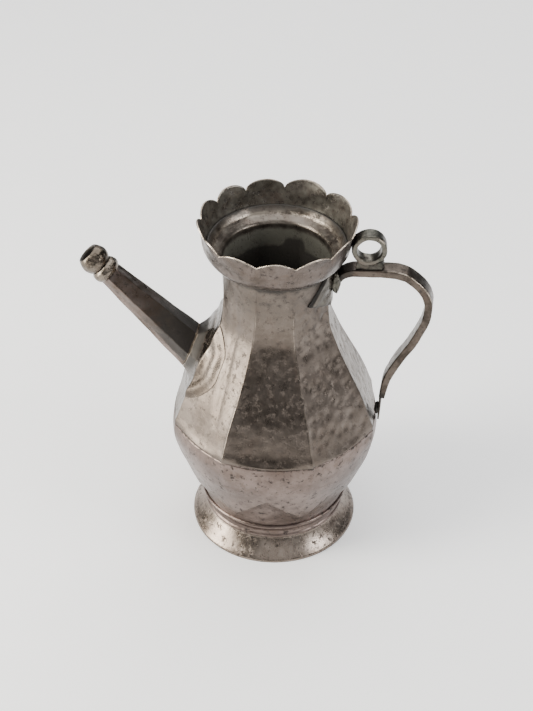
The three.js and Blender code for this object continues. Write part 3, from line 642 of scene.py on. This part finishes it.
# darker at the collar's foot outside, and low in the cup inside
collar_darkening = np.vstack([0.55 * mound(up_front, 0, 0.06), [[0]], 0.5 * mound(down_back, 0.2, 0.12)])
add_piece(
    "scalloped_collar",
    "rim_collar",
    collar_tin,
    np.vstack([outside, top, inside]),
    True,
    wear_and_sheen=collar_wear,
    grime_and_shade=collar_darkening,
    patina=by_runs((len(outside) + len(top), 0), (len(inside), 0.5)),
)

# ---- spout ---------------------------------------------------------------------------------------
spout_along = np.array([-math.cos(SPOUT_RISE), 0, math.sin(SPOUT_RISE)])
spout_side = np.array([0, -1.0, 0])
spout_over = np.array([math.sin(SPOUT_RISE), 0, math.cos(SPOUT_RISE)])
spout_start = np.array([AXIS_X - SPOUT_ROOT[0], 0, SPOUT_ROOT[1]])


def on_spout(s, angle, r):
    """Points a distance along the spout's centre line, an angle round it and a radius from it."""
    s, angle, r = (np.asarray(value, float)[..., None] for value in np.broadcast_arrays(s, angle, r))
    around = spout_side * np.cos(angle) + spout_over * np.sin(angle)
    return spout_start + spout_along * s + around * r


def tube_radius(s, angle):
    """Six flat sides, tapering evenly, with the corners between them eased."""
    corner = SPOUT_ROOT_R + (SPOUT_TIP_R - SPOUT_ROOT_R) * s / SPOUT_LENGTH
    turn = np.mod(angle - SPOUT_TWIST, TURN / 6) - TURN / 12
    return np.minimum(corner * math.cos(TURN / 12) / np.cos(turn), corner * 0.988)


def leaning(s, angle, inset):
    """Where a foot that leans back along the shoulder meets each line of the tube, drawn nearer in
    four steps because the tube tapers."""
    at = s
    for _ in range(4):
        at = s + (tube_radius(at, angle) - inset) * np.sin(angle) * math.tan(ROOT_TILT)
    return at


tube_angle = SPOUT_TWIST + np.linspace(0, TURN, TUBE_COLUMNS, endpoint=False)[None, :]
along = np.linspace(0, 1, TUBE_ROWS)[:, None]
start = leaning(ROOT_S, tube_angle, 0)
tube_s = start + (SPOUT_LENGTH - start) * along
planished = 0.16 * hammer_marks(tube_angle * TUBE_ARC, tube_s, 6.0, 41)
planished = planished + 0.10 * unevenness(tube_angle * 2, tube_s / 9, 42)
tube_outer = on_spout(tube_s, tube_angle, tube_radius(tube_s, tube_angle) - planished)
inner_along = np.linspace(1, 0, TUBE_INNER_ROWS)[:, None]
inner_start = leaning(ROOT_S, tube_angle, SPOUT_WALL)
inner_s = inner_start + (SPOUT_LENGTH - inner_start) * inner_along
tube_inner = on_spout(inner_s, tube_angle, tube_radius(inner_s, tube_angle) - SPOUT_WALL)
tube_edge = np.abs(np.mod(tube_angle - SPOUT_TWIST + TURN / 12, TURN / 6) - TURN / 12)
# pale along the six corners, rubbed tin; and a painted highlight round the tube's foot
tube_edge_wear_and_highlight = 0.30 * mound(tube_edge, 0, 0.05) + 0.6 * mound(tube_s, start, 0.7)
# painted shade: the upper and side faces darkened, most near the root; the underside is left light
tube_painted_shade = (0.42 + 0.45 * mound(tube_s, start + 6, 26)) * ease(-0.75, -0.4, np.sin(tube_angle))
add_piece(
    "spout_barrel",
    "spout_tube",
    spout_tin,
    np.vstack([tube_outer, tube_inner]),
    True,
    wear_and_sheen=np.vstack([tube_edge_wear_and_highlight, np.zeros((TUBE_INNER_ROWS, TUBE_COLUMNS))]),
    # painted shade: the bore is black
    grime_and_shade=np.vstack([tube_painted_shade, np.ones((TUBE_INNER_ROWS, TUBE_COLUMNS))]),
)


def turned_on_spout(outline, count, seed, dents):
    """A closed outline of radius and distance along the spout, carried round its centre line. Also
    gives how far each ring is out from the bore, from 0 to 1."""
    outline = drawn_through(outline, count, closed=True)
    angle = np.linspace(0, TURN, TURNED_COLUMNS, endpoint=False)[None, :]
    r, s = outline[:, 0, None], outline[:, 1, None]
    outer_side = ease(BORE_R + 0.6, BORE_R + 1.8, r)
    marks = hammer_marks(angle * MOUTH_ARC, s, 4.2, seed)
    return on_spout(s, angle, r - dents * marks * outer_side), outer_side


bead_start = SPOUT_LENGTH + GAP
bead_end = bead_start + BEAD_LENGTH
bead, bead_out = turned_on_spout(
    [
        (SPOUT_TIP_R + 0.1, bead_start), (BEAD_R - 0.9, bead_start + 0.6),
        (BEAD_R - 0.1, bead_start + 2.2),
        (BEAD_R + 0.2, bead_start + 3.8), (BEAD_R - 0.1, bead_end - 2.4), (BEAD_R - 0.9, bead_end - 1),
        (BEAD_R - 1.9, bead_end), (BORE_R + 0.6, bead_end), (BORE_R, bead_end - 0.6),
        (BORE_R, bead_start + 0.6), (BORE_R + 0.6, bead_start),
    ],
    70, 51, 0.45,
)
add_piece("spout_ring", "spout_bead", ball_tin, bead, True, wear_and_sheen=0.25 * bead_out)

ball_start = bead_end + GAP
ball_end = ball_start + BALL_LENGTH
ball, ball_out = turned_on_spout(
    [
        (BEAD_R - 2, ball_start), (BALL_R - 1.1, ball_start + 1.4), (BALL_R - 0.3, ball_start + 3.4),
        (BALL_R + 0.1, ball_start + 5.6), (BALL_R - 0.2, ball_start + 8), (BALL_R - 1.0, ball_start + 10.2),
        (BALL_R - 2.0, ball_end - 0.7), (BALL_R - 2.7, ball_end), (BORE_R + 0.7, ball_end - 0.1),
        (BORE_R, ball_end - 1.2), (BORE_R, ball_start + 0.6), (BORE_R + 0.6, ball_start),
    ],
    90, 52, 0.5,
)
add_piece(
    "spout_ball", "spout_mouth", ball_tin, ball, True,
    # painted shade: black inside the bore
    wear_and_sheen=0.2 * ball_out, grime_and_shade=1.0 - ball_out,
)

# ---- the apron at the spout's root ---------------------------------------------------------------
APRON_STOPS = [(0, 184), (21, 181), (38, 171), (46, 160), (46, 146), (39, 132), (26, 122), (0, 116)]
APRON_COLUMNS = 288
APRON_MIDDLE = (147, 46, 33)  # its middle's height, half its span in degrees, half its height
THROAT_R, THROAT_DEPTH = 12.4, 12


def apron_edge():
    """The apron's outline in degrees from the spout's plane and height, one point for each bearing
    from its middle that the tube's foot has too."""
    half = [list(stop) for stop in APRON_STOPS]
    loop = drawn_through(half + [[-w, z] for w, z in half[-2:0:-1]], 1440, closed=True)
    middle, span, rise = APRON_MIDDLE
    bearing = np.arctan2((loop[:, 1] - middle) / rise, loop[:, 0] / span)
    order = np.argsort(bearing)
    bearing, loop = bearing[order], loop[order]
    aim = SPOUT_TWIST + np.linspace(0, TURN, APRON_COLUMNS, endpoint=False)
    aim = np.mod(aim + math.pi, TURN) - math.pi
    degrees = np.interp(aim, bearing, loop[:, 0], period=TURN)
    height = np.interp(aim, bearing, loop[:, 1], period=TURN)
    return math.pi - np.radians(degrees), height


edge_angle, edge_z = apron_edge()
foot_angle = SPOUT_TWIST + np.linspace(0, TURN, APRON_COLUMNS, endpoint=False)
foot_s = leaning(ROOT_S - GAP, foot_angle, 0)
foot_points = on_spout(foot_s, foot_angle, tube_radius(foot_s, foot_angle)) - np.array([AXIS_X, 0, 0])
foot_turn = np.mod(np.arctan2(-foot_points[:, 1], foot_points[:, 0]), TURN)
foot_out = np.hypot(foot_points[:, 0], foot_points[:, 1]) - wall_radius(foot_turn, foot_points[:, 2])
share = np.concatenate([np.linspace(0, 0.12, 10)[:-1], np.linspace(0.12, 1, 42)])[:, None]
apron_angle = edge_angle + (foot_turn - edge_angle) * share
apron_z = edge_z + (foot_points[:, 2] - edge_z) * share
lift = (foot_out + 0.15) * share**3.2 - 0.15 + 1.35 * mound(share, 0.25, 0.16)
apron_arc = (apron_angle - math.pi) * 50
inner_ridge = mound(share, 0.60, 0.13) * ease(132, 150, apron_z) * (1 - ease(168, 176, apron_z))
lift = lift + 0.7 * inner_ridge
lift = lift + 0.12 * unevenness(apron_arc / 9, apron_z / 12, 61) * np.sin(math.pi * share)
apron_outer = from_axis(wall_radius(apron_angle, apron_z) + lift, apron_angle, apron_z)
hidden = np.array([-1.5, -0.8, -0.2])[:, None]
hem = from_axis(wall_radius(edge_angle, edge_z) + hidden, edge_angle, edge_z)
under = on_spout(foot_s - THROAT_DEPTH, foot_angle, THROAT_R)[None, :, :]
throat = on_spout(foot_s, foot_angle, THROAT_R)[None, :, :]
apron_rings = np.vstack([hem, apron_outer, throat, under])
# painted highlights: pale on the tube's foot, on the middle pleat and on the inner ridge
apron_painted_highlights = 0.6 * mound(share, 1, 0.02) + 0.3 * mound(share, 0.5, 0.08) * ease(145, 160, apron_z)
apron_painted_highlights = apron_painted_highlights + 0.2 * inner_ridge
# painted shade: a dark band on the upper apron beside the tube, lighter right at the tube's foot
apron_painted_shade = 0.95 * ease(0.62, 0.9, share) * ease(128, 142, apron_z) * (1 - 0.6 * mound(share, 1, 0.03))
plain = np.zeros((1, APRON_COLUMNS))
add_piece(
    "spout_apron",
    "spout_root_plate",
    apron_tin,
    apron_rings,
    True,
    wear_and_sheen=np.vstack([plain, plain, plain, apron_painted_highlights, plain, plain]),
    # painted shade: the throat going into the spout is black
    grime_and_shade=np.vstack([plain + 0.3, plain + 0.3, plain + 0.3, apron_painted_shade, plain + 1, plain + 1]),
)


# ---- handle --------------------------------------------------------------------------------------
def forged_bar(stops, steps, count, square, seed, dents):
    """A bar carried along a route in the handle's plane: each stop gives distance from the axis,
    height, width and thickness, and the section is a rectangle with its corners eased. Also gives
    how near a corner each column is, and the share of the route walked by each ring."""
    route = drawn_through(stops, steps)
    r, z, width, thick = route.T
    dr, dz = np.gradient(r), np.gradient(z)
    run = np.hypot(dr, dz)
    out_r, out_z = -dz / run, dr / run
    phase = np.linspace(0, TURN, count, endpoint=False)
    c, s = np.cos(phase), np.sin(phase)
    across = np.sign(c) * np.abs(c) ** (2 / square) * width[:, None] / 2
    outward = np.sign(s) * np.abs(s) ** (2 / square) * thick[:, None] / 2
    walked = np.cumsum(run)[:, None]
    beat = 1 - dents * hammer_marks(phase * BAR_ARC, walked, 5.5, seed)
    beat = beat - dents * 0.4 * unevenness(phase, walked / 9, seed)
    outward, across = outward * beat, across * (1 - 0.3 * (1 - beat))
    x = AXIS_X + r[:, None] + out_r[:, None] * outward
    points = np.stack([x, across, z[:, None] + out_z[:, None] * outward], axis=-1)
    corner = np.clip((np.abs(c) * np.abs(s) * 2 - 0.5) * 3, 0, 1)
    return points, corner, walked / walked[-1]


STRAP_STOPS = [
    (40.9, 208.5, STRAP_WIDTH + 2.5, 1.2), (42, 214, STRAP_WIDTH + 1.5, 3),
    (45.6, 219.6, STRAP_WIDTH + 0.5, 4.8), (53, 222.4, STRAP_WIDTH, STRAP_THICK),
    (64, 223, STRAP_WIDTH, STRAP_THICK), (79, 223.8, STRAP_WIDTH, STRAP_THICK),
    (86, 222.3, STRAP_WIDTH, STRAP_THICK), (91.8, 218.6, STRAP_WIDTH, STRAP_THICK),
    (97.4, 213.2, STRAP_WIDTH, STRAP_THICK), (101.2, 207, STRAP_WIDTH, STRAP_THICK),
    (102.8, 200, STRAP_WIDTH, STRAP_THICK), (102.2, 191.5, STRAP_WIDTH, STRAP_THICK),
    (96.4, 173.6, STRAP_WIDTH, STRAP_THICK), (82.8, 146.6, STRAP_WIDTH, STRAP_THICK),
    (77.6, 132.9, STRAP_WIDTH - 0.6, STRAP_THICK - 0.4), (75.2, 118, STRAP_WIDTH - 1.4, 4),
]
strap, strap_corner, strap_run = forged_bar(STRAP_STOPS, 320, 72, 9, 71, 0.09)
# painted shade: the strap darkened along its root at the neck and at its lower end over the tongue
strap_painted_shade = 0.75 * (1 - ease(0.02, 0.22, strap_run)) + 0.6 * ease(0.93, 1, strap_run)
strap_wear = strap_corner * (0.18 + 0.4 * mound(strap_run, 0.38, 0.12))
add_piece("strap_handle", "handle_strap", handle_tin, strap, wear_and_sheen=strap_wear, grime_and_shade=strap_painted_shade)

TONGUE_STOPS = [
    (74.1, 117.5, 9.6, 1.8), (74, 112, 9, 1.8), (73.8, 106, 8, 1.7), (73.6, 101, 6.6, 1.6),
    (73.4, 96, 4.4, 1.3),
]
tongue = forged_bar(TONGUE_STOPS, 50, 48, 5, 73, 0.06)[0]
# the whole tongue is drawn darker
add_piece("strap_tongue", "handle_tongue", handle_tin, tongue, grime_and_shade=0.55)


PATCH_TOP_Z, PATCH_CORNER_Z, PATCH_POINT_Z = 226, 207, 194.5
PATCH_HALF, PATCH_NARROWING = 47, 22  # half its width at the foot, less this at the top, in degrees


def neck_patch():
    """A splayed plate on the neck: its section up the neck is a flat loop with rounded edges, carried
    round from one side to the other; the lower edge hangs lowest in the middle."""
    across = np.linspace(-1, 1, 120)[:, None]
    foot = PATCH_POINT_Z + (PATCH_CORNER_Z - PATCH_POINT_Z) * np.abs(across)
    up = np.concatenate([[0, 0, 0.006, 0.02], np.linspace(0.05, 0.95, 26), [0.98, 0.994, 1, 1]])
    out = np.concatenate([[-0.6, 0.6, 1.25, 1.5], np.full(26, 1.65), [1.5, 1.25, 0.6, -0.6]])
    z = foot + (PATCH_TOP_Z - foot) * up[None, :]
    half = PATCH_HALF - PATCH_NARROWING * up[None, :] ** 0.8
    angle = np.radians(across * half)
    rim = ease(0.0, 0.03, 1 - np.abs(across))
    lumps = 0.22 * unevenness(angle * 9, z / 4, 81)
    lift = np.where(out > 0, GAP + out * (0.35 + 0.65 * rim) + lumps * (out > 1.4), out)
    return from_axis(wall_radius(angle, z) + lift, angle, z), np.abs(across), up[None, :]


patch_rings, patch_side, patch_up = neck_patch()
patch_grime = 0.8 * mound(patch_side, 1, 0.05) + 0.7 * mound(patch_up, 0, 0.06)
patch_grime = patch_grime + 0.25 * mound(patch_up, 1, 0.2)
add_piece(
    "neck_patch", "handle_neck_plate", handle_tin, patch_rings,
    grime_and_shade=patch_grime, patina=0.4,
)


def solder_lump(centre, radii, seed):
    """An ellipsoid that froze as it ran: its radius wanders by about a fourteenth."""
    rise = np.linspace(-math.pi / 2 + 0.06, math.pi / 2 - 0.06, 36)[:, None]
    around = np.linspace(0, TURN, 56, endpoint=False)[None, :]
    swell = 1 + 0.07 * unevenness(3 * np.cos(around) + 2 * np.sin(around), rise * 3, seed)
    x = centre[0] + AXIS_X + radii[0] * np.cos(rise) * np.cos(around) * swell
    y = centre[1] + radii[1] * np.cos(rise) * np.sin(around) * swell
    z = centre[2] + radii[2] * np.sin(rise) * swell
    return np.stack([x, y, z], axis=-1)


for side, where in ((-1, "near"), (1, "far")):
    lump = solder_lump((40.5, side * 7.4, 214.5), (3.2, 3.4, 7.2), 90 + side)
    add_piece(f"handle_solder_{where}", f"root_solder_{where}", grey_solder, lump, grime_and_shade=0.3)
tongue_lump = solder_lump((72, 0, 105.2), (1.8, 4.4, 4.4), 95)
add_piece("tongue_lump", "tongue_solder", grey_solder, tongue_lump, grime_and_shade=0.7)

# ---- hinge eye -----------------------------------------------------------------------------------
phase = np.linspace(0, TURN, 56, endpoint=False)[:, None]
round_eye = np.linspace(0, TURN, 144, endpoint=False)[None, :]
c, s = np.cos(phase), np.sin(phase)
eye_wall = (EYE_R - EYE_BORE_R) / 2
eye_r = (EYE_R + EYE_BORE_R) / 2 + np.sign(c) * np.abs(c) ** (2 / 6) * eye_wall
eye_y = np.sign(s) * np.abs(s) ** (2 / 6) * EYE_LENGTH / 2
eye_r = eye_r - 0.22 * hammer_marks(round_eye * EYE_ARC, eye_y, 5.0, 101)
eye_r = eye_r - 0.12 * unevenness(round_eye * 2, eye_y, 102)
ex, ez = eye_r * np.cos(round_eye), eye_r * np.sin(round_eye)
eye = np.stack(
    [
        AXIS_X + EYE_PLACE[0] + ex * math.cos(EYE_TURN) - eye_y * math.sin(EYE_TURN),
        ex * math.sin(EYE_TURN) + eye_y * math.cos(EYE_TURN),
        EYE_PLACE[1] + ez,
    ],
    axis=-1,
)
eye_wear = 0.5 * mound(round_eye, 0.8, 0.5) * (eye_r > 10.5) * (np.abs(eye_y) > 3.5)
add_piece("lid_eye", "hinge_eye", eye_patina, eye, True, wear_and_sheen=eye_wear, grime_and_shade=0.25)


def solder_wedge(outline, half_width, seed):
    """A wedge across the strap: its outline in the handle's plane shrinks a little at both flanks."""
    loop = drawn_through(outline, 60, closed=True)
    middle = loop.mean(axis=0)
    across = np.concatenate([[-1, -0.98, -0.93], np.linspace(-0.85, 0.85, 14), [0.93, 0.98, 1]])
    across = across[:, None]
    shrink = np.concatenate([[0.82, 0.92, 0.97], np.ones(14), [0.97, 0.92, 0.82]])[:, None]
    lumps = 0.18 * unevenness(loop[None, :, 0] / 2, across * 3, seed)
    r = middle[0] + (loop[None, :, 0] - middle[0]) * (shrink + 0.1 * lumps)
    z = middle[1] + (loop[None, :, 1] - middle[1]) * (shrink + 0.1 * lumps)
    return np.stack(np.broadcast_arrays(AXIS_X + r, across * half_width, z), axis=-1)


INNER_WEDGE = [(53, 225.2), (62, 225.0), (62.2, 229.6), (59, 231), (55.6, 232.2), (53.6, 230)]
OUTER_WEDGE = [(61.4, 225), (70.6, 226), (71.2, 228.4), (69, 232), (66, 231.2), (61.8, 229.6)]
for where, outline, seed in (("inner", INNER_WEDGE, 111), ("outer", OUTER_WEDGE, 112)):
    wedge = solder_wedge(outline, 4.5, seed)
    add_piece(f"eye_solder_{where}", f"eye_foot_{where}", grey_solder, wedge, grime_and_shade=0.45)

# ---- bench, light and camera ---------------------------------------------------------------------
bench = bpy.data.meshes.new("bench")
BENCH_REACH = 6.0
bench_corners = [(x * BENCH_REACH, y * BENCH_REACH, 0) for x, y in ((-1, -1), (1, -1), (1, 1), (-1, 1))]
bench.from_pydata(bench_corners, [], [(0, 1, 2, 3)])
bench_object = bpy.data.objects.new("bench", bench)
bpy.context.scene.collection.objects.link(bench_object)
paper = Shade("bench_paper", Roughness=0.9, Specular_IOR_Level=0.1, Emission_Strength=0.32)
grain = paper.noise(40.0, 3.0, 0.5)
paper.feed(Base_Color=paper.mix(grain, (0.88, 0.88, 0.88), (0.92, 0.92, 0.92)))
paper.surface.inputs["Emission Color"].default_value = (1, 1, 1, 1)
bench.materials.append(paper.material)

CAMERA_SIDE = math.radians(8)
CAMERA_RISE = math.radians(38.6)
CAMERA_ROLL = math.radians(0.45)
CAMERA_REACH = 1.2543
CAMERA_RIGHT = -0.0062
CAMERA_UP = 0.00993
CAMERA_LENS = 91.13924  # millimetres, on a sensor 36 wide
LOOK_HEIGHT = 0.13


def facing(side, rise):
    """A unit direction from the object, turned from the near side towards the handle."""
    return Vector((math.sin(side) * math.cos(rise), -math.cos(side) * math.cos(rise), math.sin(rise)))


middle = Vector((AXIS_X * MM, 0, LOOK_HEIGHT))


def softbox(name, side, rise, distance, width, height, power, tint=(1, 1, 1)):
    """A rectangular light that looks at the middle of the ewer from a direction, in degrees."""
    lamp = bpy.data.lights.new(name, "AREA")
    lamp.shape = "RECTANGLE"
    lamp.size, lamp.size_y, lamp.energy, lamp.color = width, height, power, tint
    stand = bpy.data.objects.new(name, lamp)
    direction = facing(CAMERA_SIDE + math.radians(side), math.radians(rise))
    stand.location = middle + direction * distance
    stand.rotation_mode = "QUATERNION"
    stand.rotation_quaternion = direction.to_track_quat("Z", "Y")
    bpy.context.scene.collection.objects.link(stand)


softbox("overhead", 180, 80, 2.2, 2.6, 2.6, 70)
softbox("left_box", -78, 13, 1.3, 0.6, 0.8, 28, (1.0, 0.96, 0.87))
softbox("left_high", -72, 44, 1.5, 0.5, 0.4, 13, (1.0, 0.96, 0.88))
softbox("back_box", 165, 42, 1.8, 1.2, 0.8, 10)
softbox("right_box", 66, 27, 1.6, 0.7, 0.5, 13)
softbox("front_fill", 6, 34, 1.9, 1.4, 1.0, 5)

world = bpy.data.worlds.new("room")
world.use_nodes = True
world.node_tree.nodes["Background"].inputs["Color"].default_value = (0.9, 0.95, 1.0, 1)
world.node_tree.nodes["Background"].inputs["Strength"].default_value = 0.06
bpy.context.scene.world = world

back = facing(CAMERA_SIDE, CAMERA_RISE)
level = Vector((math.cos(CAMERA_SIDE), math.sin(CAMERA_SIDE), 0))
upright = back.cross(level)
right = math.cos(CAMERA_ROLL) * level + math.sin(CAMERA_ROLL) * upright
up = math.cos(CAMERA_ROLL) * upright - math.sin(CAMERA_ROLL) * level
camera = bpy.data.cameras.new("camera")
camera.sensor_width = 36
camera.lens = CAMERA_LENS
camera_object = bpy.data.objects.new("camera", camera)
place = middle + back * CAMERA_REACH + CAMERA_RIGHT * right + CAMERA_UP * up
camera_object.matrix_world = Matrix((
    (right.x, up.x, back.x, place.x),
    (right.y, up.y, back.y, place.y),
    (right.z, up.z, back.z, place.z),
    (0, 0, 0, 1),
))
bpy.context.scene.collection.objects.link(camera_object)
bpy.context.scene.camera = camera_object
